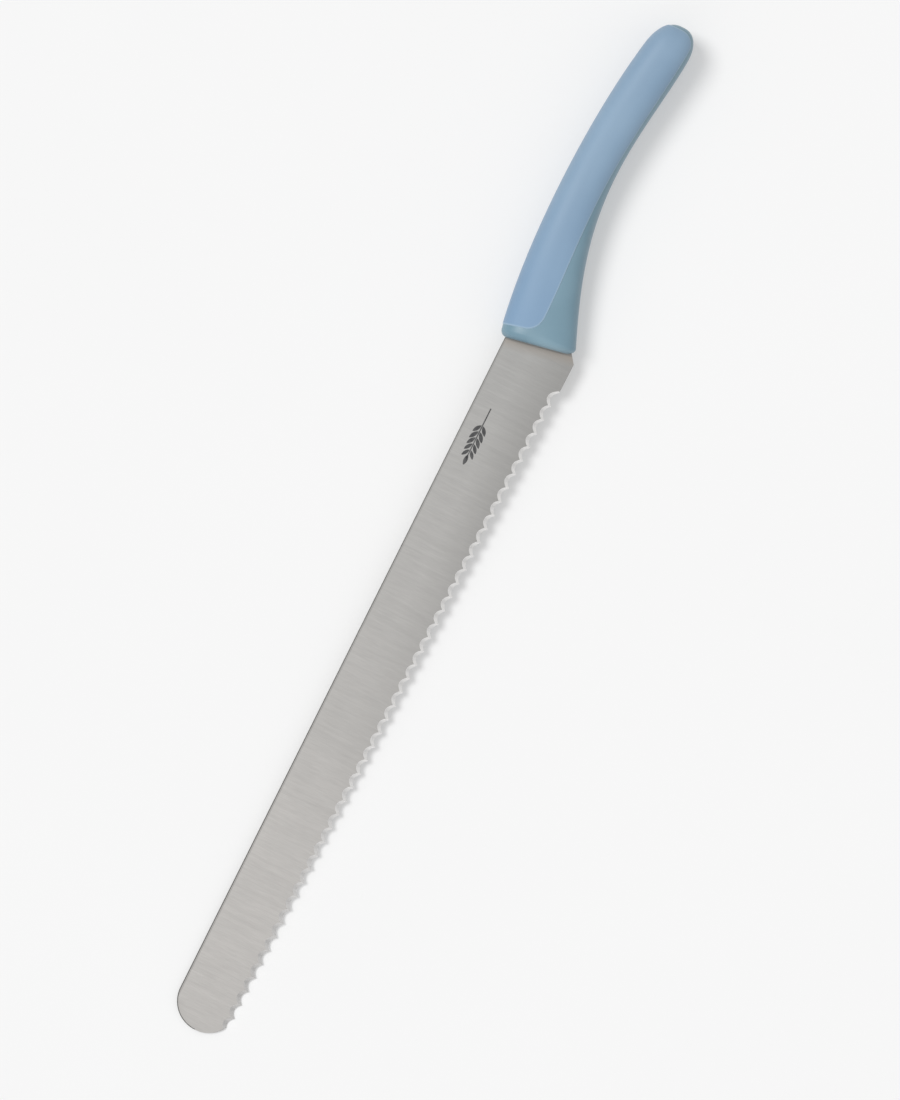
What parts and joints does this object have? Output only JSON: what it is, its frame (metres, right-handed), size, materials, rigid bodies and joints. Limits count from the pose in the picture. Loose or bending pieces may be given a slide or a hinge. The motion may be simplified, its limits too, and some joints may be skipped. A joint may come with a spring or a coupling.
{
  "type": "bread knife",
  "caption": "Bread knife with a long scalloped steel blade, a round tip and a curved two-tone handle with a soft grip over a hard core",
  "frame": {"origin": "under the middle of the knife's overall length and width, on the surface that its side lies on", "axes": "+X runs from the butt of the handle to the tip of the blade, +Y is the side of the cutting edge, +Z is the side of the blade that carries the bevels"},
  "size_m": [0.3632, 0.0304, 0.0168],
  "materials": {
    "blade_steel": "stainless steel, fine satin grind across the blade",
    "core_plastic": "hard plastic, grey teal, low gloss",
    "grip_rubber": "soft rubber, grey blue, matte"
  },
  "bodies": {
    "root": {"blade": "blade_steel", "handle_core": "core_plastic", "soft_grip": "grip_rubber"}
  },
  "joints": []
}
